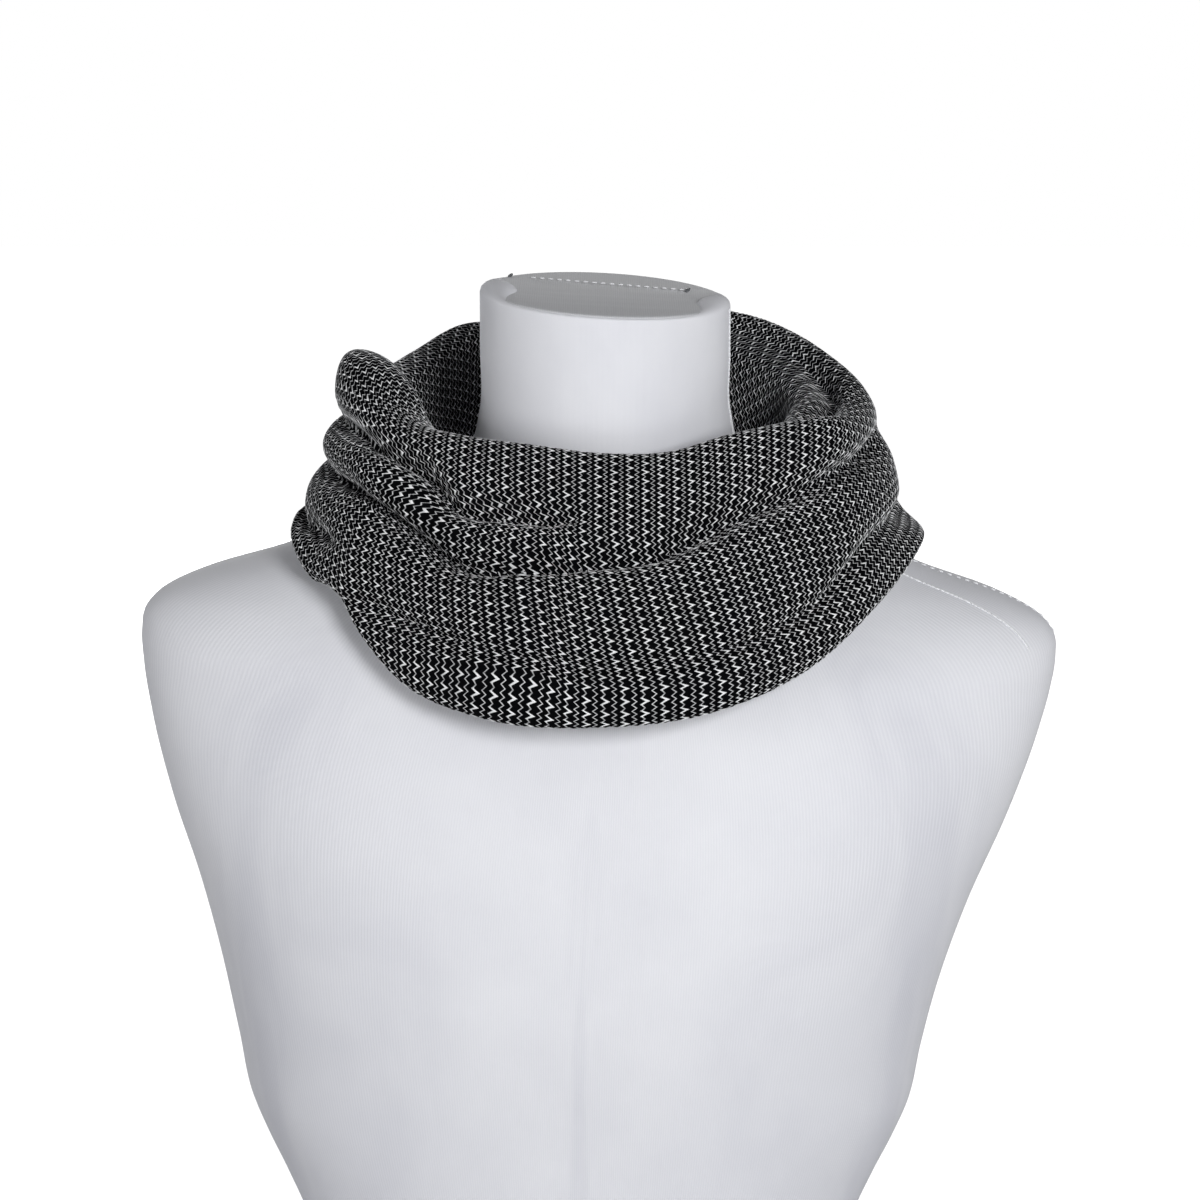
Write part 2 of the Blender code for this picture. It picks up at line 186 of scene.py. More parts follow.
form = {
    "columns": 240,
    "rows": 220,
    "neckTop": 0.4955,
    "neckBase": 0.420,
    "neckRadius": 0.0615,
    "neckSlopeBack": 0.080,   # the neck's top face rises towards the back
    "neckSlopeSide": -0.055,  # and falls towards +X
    "neckSlopeFrom": 0.020,   # height above the neck's base where its rings start to tilt
    "torsoShift": -0.0125,    # the torso's middle lies towards -X of the neck
    "shiftFade": 0.30,
    "shoulderTip": 0.030,     # slope by which the shoulders drop towards +X
    "tipFade": (0.20, 0.04),  # heights over which that comes in from the waist, and goes below the neck
    "edgeAcross": (0.0014, 0.0080),   # half-width of the neck's turned-in edge, and what a lump adds
    "edgeLift": (0.0012, 0.0042),     # and its height
    "edgeStep": 20,           # degrees between the rings of that edge
    "lumps": (
        # angle, width, size
        (-88, 26, 1.0), (80, 24, 0.85),
    ),
    "seamBack": 0.0245,       # how far behind the neck's middle its top seam runs
    "sharpAngle": 60,         # edges that bend more than this are drawn sharp, as at the waist
    "ribSpacing": 0.0011,     # real ribs are about 0.5 mm: drawn coarser so that they show
    "shadeTop": 0.36,         # the painted shade on the panels fades in below this height
    "shadeFade": 0.06,
    "shadeLevel": 0.20,       # height at which a sloping shade is at its own angle
    "shades": (
        # strength, angle, width, degrees forwards for each metre up, height where it fades in, fade
        # the faint seam line down the front, then painted shade down each flank, then painted shade below
        # each side of the chest
        (0.07, 0, 2, 0, 0.29, 0.05),
        (0.16, 66, 7, 50, 0.42, 0.06),
        (0.12, 52, 20, 0, 0.24, 0.10),
    ),
    "sections": (
        # height, halfWidth, front, back, squareness
        (0.000, 0.134, 0.098, 0.072, 2.3), (0.030, 0.138, 0.100, 0.074, 2.3),
        (0.057, 0.149, 0.104, 0.077, 2.3), (0.078, 0.159, 0.108, 0.080, 2.3),
        (0.095, 0.166, 0.111, 0.083, 2.3), (0.125, 0.172, 0.116, 0.087, 2.3),
        (0.165, 0.181, 0.121, 0.092, 2.3), (0.205, 0.193, 0.122, 0.097, 2.3),
        (0.245, 0.208, 0.119, 0.101, 2.3), (0.285, 0.220, 0.110, 0.103, 2.3),
        (0.310, 0.2255, 0.101, 0.102, 2.2), (0.325, 0.227, 0.094, 0.100, 2.2),
        (0.337, 0.225, 0.087, 0.097, 2.1), (0.346, 0.216, 0.079, 0.094, 2.1),
        (0.355, 0.197, 0.071, 0.091, 2.1), (0.366, 0.163, 0.066, 0.087, 2.0),
        (0.380, 0.131, 0.0645, 0.083, 2.0), (0.395, 0.103, 0.064, 0.078, 2.0),
        (0.410, 0.082, 0.063, 0.073, 2.0), (0.422, 0.068, 0.0625, 0.069, 2.0),
        (0.440, 0.062, 0.062, 0.065, 2.0), (0.470, 0.0615, 0.0615, 0.0625, 2.0),
        (0.4955, 0.0615, 0.0615, 0.0615, 2.0),
    ),
}
formTable = np.array(form["sections"])


def formSize(height):
    # half width, reach to the front, reach to the back and squareness at a height
    height = np.clip(height, 0, form["neckTop"])
    return np.moveaxis(hermite(formTable[:, 0], formTable[:, 1:], height), -1, 0)


def formLean(height):
    # sideways shift of a ring, and its slope towards +X
    below = form["neckBase"] - height
    fadeUp, fadeDown = form["tipFade"]
    shift = form["torsoShift"] * smoothStep(below / form["shiftFade"])
    tip = form["shoulderTip"] * smoothStep(height / fadeUp) * smoothStep(below / fadeDown)
    return shift, tip


def formRing(height, turn):
    # points of the form's surface at a height, at turns from the front in radians
    halfWidth, front, back, square = formSize(np.array(height))
    across, ahead = np.sin(turn), -np.cos(turn)
    depth = np.where(ahead < 0, front, back)
    reach = (np.abs(across / halfWidth) ** square + np.abs(ahead / depth) ** square) ** (-1 / square)
    shift, tip = formLean(height)
    x, y = reach * across, reach * ahead
    start = form["neckBase"] + form["neckSlopeFrom"]
    top = smoothStep((height - start) / (form["neckTop"] - start))
    z = height - tip * x + top * (form["neckSlopeBack"] * y + form["neckSlopeSide"] * x)
    return np.stack([x + shift, y, z], axis=-1)


def formReach(points):
    # ratio of each point's distance from the form's axis to the form's own there
    x, y, z = points[..., 0], points[..., 1], points[..., 2]
    shift, tip = formLean(z)
    halfWidth, front, back, square = formSize(z + tip * x)
    depth = np.where(y < 0, front, back)
    return (np.abs((x - shift) / halfWidth) ** square + np.abs(y / depth) ** square) ** (1 / square)


def clearOfForm(points, distance):
    # points closer to the form than the distance move out along its slope, a little at a time
    step, rounds, farthest = 0.0005, 6, 0.006
    for _ in range(rounds):
        value = formReach(points)
        slope = np.stack([(formReach(points + step * axis) - value) / step for axis in np.eye(3)], axis=-1)
        size = np.linalg.norm(slope, axis=-1)
        short = np.clip(distance - (value - 1) / size, 0, farthest)
        points = points + slope * (short / size)[..., None]
    return points


def jerseyMaterial(name, light, shade):
    # Cotton and elastane jersey, circular-knitted and stretched over padding.
    # The eye gets a matt white with very fine upright ribs and faint painted shade over the panels.
    material, tree, shader = newMaterial(name, Roughness=0.8, IOR=1.46, Specular_IOR_Level=0.25,
                                         Sheen_Weight=0.10, Sheen_Roughness=0.6)
    # distance round the form, height, and the painted shade on the panels with the faint seam line
    thread = addNode(tree, "ShaderNodeAttribute", attribute_name="thread").outputs["Vector"]
    split = addNode(tree, "ShaderNodeSeparateXYZ", {0: thread})
    phase = addNode(tree, "ShaderNodeMath", {0: split.outputs[0], 1: 2 * math.pi / form["ribSpacing"]},
                    operation="MULTIPLY")
    ribs = addNode(tree, "ShaderNodeMath", {0: phase.outputs[0]}, operation="SINE").outputs[0]
    # loops of about 1 mm, and clouds of about 80 mm
    loops = addNode(tree, "ShaderNodeTexNoise", {"Vector": thread, "Scale": 900.0, "Detail": 2.0})
    clouds = addNode(tree, "ShaderNodeTexNoise", {"Vector": thread, "Scale": 13.0, "Detail": 6.0})
    height = addNode(tree, "ShaderNodeMath", {0: loops.outputs["Fac"], 1: 0.6, 2: ribs},
                     operation="MULTIPLY_ADD")
    bump = addNode(tree, "ShaderNodeBump",
                   {"Height": height.outputs[0], "Strength": 0.16, "Distance": 0.0002})
    tree.links.new(bump.outputs["Normal"], shader.inputs["Normal"])
    # tone: from the light colour towards the dark one by ribs, clouds and the painted shade on the panels
    ribTone = addNode(tree, "ShaderNodeMapRange", {0: ribs, 1: -1.0, 2: 1.0, 3: 0.10, 4: 0.0})
    cloudy = addNode(tree, "ShaderNodeMapRange",
                     {0: clouds.outputs["Fac"], 1: 0.35, 2: 0.75, 3: 0.0, 4: 0.14})
    mottled = addNode(tree, "ShaderNodeMath", {0: ribTone.outputs[0], 1: cloudy.outputs[0]}, operation="ADD")
    tone = addNode(tree, "ShaderNodeMath", {0: mottled.outputs[0], 1: split.outputs[2]}, operation="ADD",
                   use_clamp=True)
    colour = addNode(tree, "ShaderNodeMix", {0: tone.outputs[0], 6: srgb(light), 7: srgb(shade)},
                     data_type="RGBA")
    tree.links.new(colour.outputs[2], shader.inputs["Base Color"])
    return material


def threadMaterial(name, light, shade):
    # Spun polyester sewing thread. The eye gets small dashes, faintly glossy.
    material, tree, shader = newMaterial(name, Roughness=0.5, IOR=1.55, Specular_IOR_Level=0.4,
                                         Sheen_Weight=0.1)
    place = addNode(tree, "ShaderNodeTexCoord").outputs["Object"]
    # its plies come round about every 0.7 mm, near the real twist
    twist = addNode(tree, "ShaderNodeTexWave", {"Vector": place, "Scale": 500.0, "Distortion": 0.5},
                    bands_direction="DIAGONAL")
    colour = addNode(tree, "ShaderNodeMix", {0: twist.outputs["Fac"], 6: srgb(light), 7: srgb(shade)},
                     data_type="RGBA")
    tree.links.new(colour.outputs[2], shader.inputs["Base Color"])
    return material


whiteJersey = jerseyMaterial("stretched white cotton jersey", "F1F2F7", "A9ABBC")
# the neck's top panel: the same white jersey, with painted shade that deepens towards its front edge
paintedShadeJersey = jerseyMaterial("white cotton jersey with painted shade", "F0F1F4", "B6B8BE")
whiteThread = threadMaterial("white polyester sewing thread", "F6F7F9", "E6E8EC")
# dark grey thread: painted shade of the small holes at the ends of the panel stitches
holeShadeThread = threadMaterial("dark thread painted as hole shade", "77797D", "4A4C50")


def seamAndPaintedShade(turn, height):
    # where the panels meet: a faint seam line down the middle of the front and painted shade down each flank;
    # also painted shade below each side of the chest
    degrees = np.abs(np.degrees(turn))
    shade = 0
    for strength, angle, width, slope, start, fade in form["shades"]:
        away = degrees - angle + slope * (height - form["shadeLevel"])
        shade = shade + strength * smoothStep((start - height) / fade) * np.exp(-(away / width) ** 2)
    return smoothStep((form["shadeTop"] - height) / form["shadeFade"]) * shade


def ringFaces(levels, count):
    # faces of a closed stack of rings, with a flat lid at each end
    faces = []
    for level in range(levels - 1):
        low, high = level * count, (level + 1) * count
        for i in range(count):
            j = (i + 1) % count
            faces.append((low + i, low + j, high + j, high + i))
    faces.append(tuple(reversed(range(count))))
    faces.append(tuple((levels - 1) * count + i for i in range(count)))
    return faces


def addTorso():
    turn = np.arange(form["columns"]) * 2 * math.pi / form["columns"] - math.pi
    heights = np.linspace(0, form["neckTop"], form["rows"])
    rings = np.array([formRing(height, turn) for height in heights])
    edge = rings[-1]
    inward = (edge.mean(axis=0) - edge) / form["neckRadius"]
    # the cover turns in over the neck's top edge, in a big soft lump at each side
    degrees = np.degrees(turn)
    lump = sum(size * np.exp(-((degrees - angle) / width) ** 2) for angle, width, size in form["lumps"])
    across = form["edgeAcross"][0] + form["edgeAcross"][1] * lump
    lift = form["edgeLift"][0] + form["edgeLift"][1] * lump
    for turnIn in np.radians(np.arange(form["edgeStep"], 181, form["edgeStep"])):
        up = np.stack([0 * lift, 0 * lift, lift * math.sin(turnIn)], axis=1)
        rings = np.concatenate([rings, [edge + inward * (across * (1 - math.cos(turnIn)))[:, None] + up]])
    width = np.linalg.norm(rings[..., :2], axis=-1).mean()
    # painted shade down the flanks and below the chest, with the faint seam line down the front
    shade = seamAndPaintedShade(turn[None, :], rings[..., 2])
    lines = np.stack([np.broadcast_to(turn * width, rings.shape[:2]), rings[..., 2], shade], axis=-1)
    piece = newMesh("jersey_form", rings, ringFaces(*rings.shape[:2]), whiteJersey, {"thread": lines})
    piece.data.set_sharp_from_angle(angle=math.radians(form["sharpAngle"]))
    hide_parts("form_torso")
    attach(piece, "root")
    return piece


def neckTopPoint(x, y):
    # a place on the sloping plane of the neck's top
    return np.array([x, y, form["neckTop"] + form["neckSlopeBack"] * y + form["neckSlopeSide"] * x])


neckPanel = {
    "inset": 0.0012,          # its edge lies this far inside the neck's
    "rings": (
        # share of the radius, height above the neck's top plane
        (0.97, 0.0003), (1.0, 0.0009), (0.992, 0.0017), (0.97, 0.0021), (0.93, 0.0021),
        (0.85, 0.0019), (0.72, 0.0016), (0.55, 0.0013), (0.35, 0.0011), (0.15, 0.0010),
    ),
    "seamRise": 0.0009,       # the cloth stands up along its seam
    "seamWidth": 0.004,
    "seamShare": 0.95,        # share of the radius that the seam reaches
    # strength of the painted shade at the front edge, and the distance over which it deepens
    "shade": 0.40,
    "shadeSpan": 0.07,
}


def addNeckPanel():
    # the panel that closes the neck: slack cloth, lower in the middle, with its edge turned down
    turn = np.arange(form["columns"]) * 2 * math.pi / form["columns"]
    radius = form["neckRadius"] - neckPanel["inset"]
    rings = []
    for share, lift in neckPanel["rings"]:
        x, y = share * radius * np.sin(turn), -share * radius * np.cos(turn)
        ring = neckTopPoint(x, y).T
        if share < neckPanel["seamShare"]:
            away = (y - form["seamBack"]) / neckPanel["seamWidth"]
            lift = lift + neckPanel["seamRise"] * np.exp(-away ** 2)
        ring[:, 2] += lift
        rings.append(ring)
    rings = np.array(rings)
    # painted shade deepens from the seam to the front edge, where the dished cloth lies in shade
    shade = neckPanel["shade"] * smoothStep((form["seamBack"] - rings[..., 1]) / neckPanel["shadeSpan"])
    lines = np.stack([rings[..., 0], rings[..., 1], shade], axis=-1)
    piece = newMesh("neck_panel", rings, ringFaces(*rings.shape[:2]), paintedShadeJersey, {"thread": lines})
    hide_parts("form_neck_cap")
    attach(piece, "root")


dash = {
    "sides": 6,
    "rings": (
        # share of the length, share of the radius
        (0.12, 0.75), (0.5, 1.0), (0.88, 0.75),
    ),
    "upright": (0.0, 0.31, 0.95),   # a direction that no stitch runs along
}


def addDashes(name, starts, ends, radius, material):
    # small spindles of thread, one from each start to its end
    points, faces = [], []
    sides = dash["sides"]
    corners = np.radians(np.arange(sides) * 360 / sides)
    for start, end in zip(starts, ends):
        ahead = end - start
        side = np.cross(ahead, dash["upright"])
        side /= np.linalg.norm(side)
        up = np.cross(side, ahead) / np.linalg.norm(ahead)
        first = len(points)
        last = first + 1 + sides * len(dash["rings"])
        points.append(start)
        for share, girth in dash["rings"]:
            for corner in corners:
                out = math.cos(corner) * side + math.sin(corner) * up
                points.append(start + share * ahead + radius * girth * out)
        points.append(end)
        for i in range(sides):
            j = (i + 1) % sides
            faces.append((first, first + 1 + j, first + 1 + i))
            for ring in range(first + 1, last - sides, sides):
                faces.append((ring + i, ring + j, ring + sides + j, ring + sides + i))
            faces.append((last - sides + i, last - sides + j, last))
    piece = newMesh(name, points, faces, material)
    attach(piece, "root")


seams = {
    "panelEnds": (
        # x, y from the neck's top seam
        (-0.037, 0.006), (0.041, -0.006),
    ),
    "panelStitches": 18,
    "panelShare": 0.62,       # share of each stitch's spacing that shows thread
    "panelLift": 0.0028,
    "panelRadius": 0.00042,
    "darkEndPast": 0.13,         # how far the left dark end lies past the stitches, as a share of their line
    "darkEndTilt": (0.0010, 0.0022, 0.0006),
    "darkEndRadius": 0.0009,
    "lineStep": 0.0008,       # height between the points of a seam's line
    "lineEnd": 0.3300,
    "sideTurn": 80,           # angle at which the seam runs up the neck and out along the shoulder
    "sideSpacing": 0.0026,
    "sideOverlap": 0.2,
    "sideRadius": 0.00065,
    "sideLift": (0.0002, 0.25, 0.40),   # outwards, its rise for each metre out, and from which height
    "ridgeSpan": (0.331, 0.372),
    "ridgeSpacing": 0.0046,
    "ridgeStitch": 0.0028,
    "ridgeEnd": 0.003,        # no stitch starts closer than this to the ridge's end
    "ridgeRadius": 0.00055,
    "ridgeLift": 0.0002,
}


def pointsAlong(line, places):
    # points of a line at distances along it
    return np.stack([np.interp(places, along(line), values) for values in line.T], axis=1)


def addSeams():
    # hand stitches across the neck's top panel
    left, right = (neckTopPoint(x, form["seamBack"] + y) + (0, 0, seams["panelLift"])
                   for x, y in seams["panelEnds"])
    step = (right - left) / seams["panelStitches"]
    starts = [left + k * step for k in range(seams["panelStitches"])]
    addDashes("neck_panel_stitches", starts, [start + seams["panelShare"] * step for start in starts],
              seams["panelRadius"], whiteThread)
    # a dark grey spindle at each end of them, painted as the shade in the small hole there
    tilt = np.array(seams["darkEndTilt"])
    darkEnds = [left - seams["darkEndPast"] * (right - left), right]
    addDashes("neck_panel_hole_shade", [darkEnd - tilt for darkEnd in darkEnds], [darkEnd + tilt for darkEnd in darkEnds],
              seams["darkEndRadius"], holeShadeThread)
    # a seam up the side of the neck and out along the shoulder
    turn = math.radians(seams["sideTurn"])
    heights = np.arange(form["neckTop"], seams["lineEnd"], -seams["lineStep"])
    line = np.array([formRing(height, turn) for height in heights])
    distance = along(line)
    picked = np.interp(np.arange(0, distance[-1], seams["sideSpacing"]), distance, np.arange(len(line)))
    picked = line[np.round(picked).astype(int)]
    lift, rise, start = seams["sideLift"]
    outward = np.array([math.sin(turn), -math.cos(turn), rise])
    picked = picked + outward * np.where(picked[:, 2:] > start, lift, 0.0)
    ends = picked[1:] + seams["sideOverlap"] * (picked[1:] - picked[:-1])
    addDashes("neck_seam", picked[:-1], ends, seams["sideRadius"], whiteThread)
    # a row of stitches out along the shoulder's ridge
    low, high = seams["ridgeSpan"]
    heights = heights[(heights < high) & (heights > low)]
    ridge = np.array([formRing(height, math.pi / 2) for height in heights])
    ridge = clearOfForm(ridge, seams["ridgeLift"])
    starts = np.arange(0, along(ridge)[-1] - seams["ridgeEnd"], seams["ridgeSpacing"])
    ends = pointsAlong(ridge, starts + seams["ridgeStitch"])
    addDashes("shoulder_stitches", pointsAlong(ridge, starts), ends, seams["ridgeRadius"], whiteThread)


torso = addTorso()
addNeckPanel()
addSeams()
print("form done")


scarf = {
    "clothThickness": 0.0025,
    "clothToForm": 0.0012,
    "wellDepth": 0.052,       # how far the inner layer hangs down inside the rim
    "wellFlare": 0.004,
    "outerShares": (0.30, 0.55, 0.78),   # heights of the upper, middle and lower points, from crest to hem
    "hemRoll": 0.015,         # how thick the rolled hem is
    "hemTuck": 0.020,         # how far the hidden layer reaches up behind it
    "usualDrop": 0.12,        # for this drop from crest to hem, and in proportion
    "tuckShare": 1.6,         # how far in that layer ends, as a share of the roll
    "lowestHem": 0.300,
    "trialHeights": 400,
    "bendRadius": 0.0011,
    "profilePoints": 500,
    "guides": 540,            # profiles worked out round the neck
    "courses": 224,           # white rows of knitting round the loop
    "courseSpacing": 0.00373,
    "steps": 4,               # mesh columns for each white row
    "rows": 184,              # mesh rows from the well to the tuck, two for each stitch
    "innerSteps": (4, 3),     # columns and rows of the outer face for each one of the inner face
    "evenRows": (50, 154),    # mesh rows at the crest and at the end of the even stretch below it
    "evenSpan": 0.130,
    "leastTuck": 0.012,
    "frontSpan": 125,         # the rows keep their real spacing up to this angle from the front
    "frontFade": 35,
    "leastDensity": 60,       # rows for each metre behind that, at the least
    "zigzag": 0.00100,        # how far each plain stitch leans to either side of its row
    "tick": (-0.0012, 0.0015, -0.0012, 0.0003),   # and each half stitch of a slipped row
    "boldness": (0.45, 1.0, 0.45, -1.0),          # its thickness, and below 0 how far it sinks in
    "offsetRows": 98,         # above this mesh row the ticks of neighbouring slipped rows alternate
    "relief": 0.00030,
    "roomSpan": (0.2, 1.1),   # least and greatest share of it, where rows crowd together or spread
    "joinCourse": 98.5,       # the join that closes the loop: its place, height and width in rows
    "joinRise": 0.0012,
    "joinWidth": 0.45,
    "joinSpan": (0.062, 0.108),          # and the distances from the crest between which it shows
    "joinFade": (0.008, 0.010),
    # these lie, in order, at the back left, front left, front right and back right
    "quarters": ("front_left", "front_right", "back_right", "back_left"),
    "sections": (
        # angle, rimR, rimZ, crestR, crestZ, upperR, middleR, lowerR, hemR, hemZ
        (-160, 0.104, 0.467, 0.115, 0.472, 0.128, 0.136, 0.139, 0.134, 0.345),
        (-140, 0.106, 0.466, 0.118, 0.472, 0.131, 0.139, 0.142, 0.137, 0.352),
        (-126, 0.109, 0.456, 0.121, 0.461, 0.133, 0.141, 0.146, 0.142, 0.364),
        (-114, 0.112, 0.450, 0.124, 0.455, 0.132, 0.141, 0.148, 0.146, 0.374),
        (-100, 0.105, 0.459, 0.127, 0.467, 0.135, 0.142, 0.149, 0.152, 0.378),
        (-86, 0.093, 0.449, 0.127, 0.463, 0.1355, 0.143, 0.149, 0.156, 0.373),
        (-74, 0.089, 0.437, 0.122, 0.448, 0.136, 0.144, 0.150, 0.157, 0.364),
        (-60, 0.087, 0.432, 0.112, 0.438, 0.137, 0.143, 0.149, 0.152, 0.359),
        (-52, 0.086, 0.4315, 0.106, 0.437, 0.134, 0.141, 0.148, 0.150, 0.341),
        (-45, 0.085, 0.431, 0.101, 0.436, 0.131, 0.140, 0.147, 0.148, 0.327),
        (-25, 0.082, 0.430, 0.095, 0.434, 0.123, 0.139, 0.147, 0.145, 0.311),
        (0, 0.080, 0.427, 0.092, 0.430, 0.119, 0.138, 0.147, 0.144, 0.309),
        (20, 0.080, 0.427, 0.093, 0.430, 0.120, 0.138, 0.148, 0.146, 0.314),
        (40, 0.084, 0.433, 0.098, 0.437, 0.125, 0.140, 0.150, 0.150, 0.329),
        (60, 0.093, 0.436, 0.121, 0.442, 0.134, 0.143, 0.151, 0.154, 0.354),
        (75, 0.089, 0.436, 0.125, 0.442, 0.138, 0.145, 0.151, 0.158, 0.371),
        (90, 0.091, 0.439, 0.128, 0.445, 0.140, 0.145, 0.150, 0.157, 0.374),
        (105, 0.097, 0.441, 0.128, 0.454, 0.137, 0.142, 0.150, 0.152, 0.372),
        (120, 0.103, 0.451, 0.124, 0.465, 0.134, 0.140, 0.146, 0.144, 0.366),
        (140, 0.101, 0.463, 0.119, 0.477, 0.130, 0.137, 0.142, 0.138, 0.350),
        (160, 0.101, 0.469, 0.115, 0.480, 0.127, 0.134, 0.138, 0.134, 0.344),
        (180, 0.102, 0.468, 0.114, 0.475, 0.127, 0.134, 0.137, 0.132, 0.342),
    ),
    "creases": (
        # name, face, path of (angle, height or radius), depth, width, rise, startFade, endFade
        ("upperLeft", "outer",
         ((-94, 0.438), (-74, 0.437), (-58, 0.432), (-48, 0.424), (-38, 0.411), (-24, 0.408),
          (-8, 0.406)),
         0.017, 0.0040, -0.10, 44, 16),
        ("middleLeft", "outer",
         ((-92, 0.415), (-70, 0.414), (-58, 0.410), (-47, 0.399), (-36, 0.387), (-16, 0.387),
          (0, 0.389)),
         0.020, 0.0044, -0.12, 42, 24),
        ("smallLeft", "outer",
         ((-104, 0.395), (-84, 0.392), (-66, 0.385)),
         0.010, 0.0034, 0.00, 24, 16),
        ("lowerFront", "outer",
         ((-54, 0.360), (-18, 0.343), (9, 0.340), (43, 0.362), (62, 0.386), (96, 0.394)),
         0.010, 0.0040, 0.00, 16, 16),
        ("upperRight", "outer",
         ((2, 0.388), (12, 0.391), (24, 0.399), (36, 0.408), (50, 0.415), (64, 0.422), (90, 0.430)),
         0.016, 0.0040, -0.08, 22, 24),
        ("topRight", "top",
         ((66, 0.104), (84, 0.108), (100, 0.112), (118, 0.112)),
         0.013, 0.0046, 0.00, 16, 14),
        ("backRight", "outer",
         ((104, 0.418), (128, 0.416), (158, 0.406)),
         0.012, 0.0060, 0.40, 16, 12),
        ("backMiddle", "outer",
         ((112, 0.386), (150, 0.376), (196, 0.380), (232, 0.392)),
         0.010, 0.0065, 0.35, 16, 16),
        ("backLeft", "outer",
         ((176, 0.430), (208, 0.422), (246, 0.428)),
         0.012, 0.0056, 0.40, 12, 20),
    ),
    "creaseShare": 0.45,      # share of a crease's own length that counts when the rows are placed
    "lean": (
        # angle, how far the rows there lean round the loop at the full distance below the crest
        (-60, 0.0), (-26, 0.005), (-12, 0.010), (0, 0.013), (25, 0.022), (80, 0.024), (150, 0.0),
    ),
    "leanStart": 0.045,       # distance below the crest where the lean starts, and what it grows over
    "leanSpan": 0.060,
    "leanMost": 1.4,
    "cordDrag": 0.0090,       # how far the rows are dragged across the narrow fold at the left
    "cordSaw": (
        # place from its upper crease to its lower one, share of the drag
        (-0.30, 0), (0.12, 1), (0.88, -1), (1.25, 0),
    ),
    "cordSpan": (-110, -6),   # angles between which they are, with fades inside them
    "cordFade": (30, 26),
    "cordLeast": 0.008,
}


def restingHeight(angle, radius):
    # lowest height at which cloth lies clear above the shoulder at a radius
    turn = math.radians(angle)
    heights = np.linspace(form["neckTop"], scarf["lowestHem"], scarf["trialHeights"])
    x, y = radius * math.sin(turn), -radius * math.cos(turn)
    inside = formReach(np.stack([x + 0 * heights, y + 0 * heights, heights], axis=1)) < 1
    return heights[np.argmax(inside)] + 2 * scarf["clothThickness"] if inside.any() else 0


def drapedSection(angle, section):
    # points of the loop in (radius, height), from the well over the rim to the tuck
    rimR, rimZ, crestR, crestZ, upperR, middleR, lowerR, hemR, hemZ = section
    roll = scarf["hemRoll"]
    wellR = rimR + scarf["wellFlare"]
    bottomR, underR, tuckR = hemR - 0.5 * roll, hemR - roll, hemR - scarf["tuckShare"] * roll
    wellZ = max(rimZ - scarf["wellDepth"], restingHeight(angle, wellR))
    hemZ = max(hemZ, restingHeight(angle, bottomR))
    underZ = max(hemZ + 0.5 * roll, restingHeight(angle, underR))
    drop = hemZ - crestZ
    tuckZ = max(hemZ - scarf["hemTuck"] * drop / scarf["usualDrop"], restingHeight(angle, tuckR))
    upperZ, middleZ, lowerZ = (crestZ + share * drop for share in scarf["outerShares"])
    return np.array([
        (wellR, wellZ), (rimR, 0.5 * (rimZ + wellZ)), (rimR, rimZ), (crestR, crestZ),
        (upperR, upperZ), (middleR, middleZ), (lowerR, lowerZ),
        (hemR, hemZ + 0.5 * roll), (bottomR, hemZ), (underR, underZ), (tuckR, tuckZ),
    ])


# the table of sections, repeated a little past each end so that the loop closes smoothly
sectionTable = np.array(scarf["sections"], float)
margin = 4
before, after = sectionTable[-margin:], sectionTable[:margin]
sectionTurns = np.concatenate([before[:, 0] - 360, sectionTable[:, 0], after[:, 0] + 360])
sectionRows = np.concatenate([before, sectionTable, after])[:, 1:]


def creaseStrength(path, startFade, endFade, angle):
    # how strong a crease is at an angle, and its height or radius there
    path = np.array(path)
    middle = 0.5 * (path[0, 0] + path[-1, 0])
    angle = (angle - middle + 180) % 360 - 180 + middle
    start = smoothStep(0.5 + (angle - path[0, 0]) / startFade)
    end = smoothStep(0.5 + (path[-1, 0] - angle) / endFade)
    return float(start * end), float(hermite(path[:, 0], path[:, 1], np.clip(angle, path[0, 0], path[-1, 0])))


def rounded(line, radius):
    # bends tighter than the radius are eased, and the ends are kept
    spacing = along(line)[-1] / (len(line) - 1)
    reach = int(math.ceil(3 * radius / spacing))
    kernel = np.exp(-0.5 * (np.arange(-reach, reach + 1) * spacing / radius) ** 2)
    kernel /= kernel.sum()
    padded = np.concatenate([2 * line[0] - line[reach:0:-1], line, 2 * line[-1] - line[-2:-reach - 2:-1]])
    return np.stack([np.convolve(values, kernel, mode="valid") for values in padded.T], axis=1)


def drapedLine(angle):
    # the creased profile at an angle, how far along the cloth each point counts as lying, and the
    # places of its crest and of each crease: knitting stretches into a crease, so that the
    # crease's own length counts only in part
    points = drapedSection(angle, hermite(sectionTurns, sectionRows, np.array(angle)))
    spans = np.sqrt(np.linalg.norm(np.diff(points, axis=0), axis=1))
    darkEnds = np.concatenate([[0], np.cumsum(spans)])
    profile = hermite(darkEnds, points, np.linspace(0, darkEnds[-1], scarf["profilePoints"]))
    distance = along(profile)
    tangent = np.gradient(profile, distance, axis=0)
    tangent /= np.linalg.norm(tangent, axis=1)[:, None]
    normal = np.stack([-tangent[:, 1], tangent[:, 0]], axis=1)
    crest = int(np.argmax(profile[:, 1]))
    hem = crest + int(np.argmin(profile[crest:, 1]))
    moved, places = profile.copy(), {}
    for name, face, path, depth, width, rise, startFade, endFade in scarf["creases"]:
        strength, where = creaseStrength(path, startFade, endFade, angle)
        if face == "outer":
            place = crest + int(np.argmin(np.abs(profile[crest:hem, 1] - where)))
        else:
            rim = int(np.argmin(profile[:crest, 0]))
            place = rim + int(np.argmin(np.abs(profile[rim:crest, 0] - where)))
        places[name] = place
        away = distance - distance[place]
        blunt = 0.4 * width    # rounds the bottom of the crease
        dip = np.exp(-(np.sqrt(away ** 2 + blunt ** 2) - blunt) / width)
        inward = strength * depth * dip[:, None]
        moved -= inward * (normal * math.sqrt(1 - rise ** 2) + tangent * rise)
    line = rounded(moved, scarf["bendRadius"])
    return line, distance + scarf["creaseShare"] * (along(line) - distance), crest, places


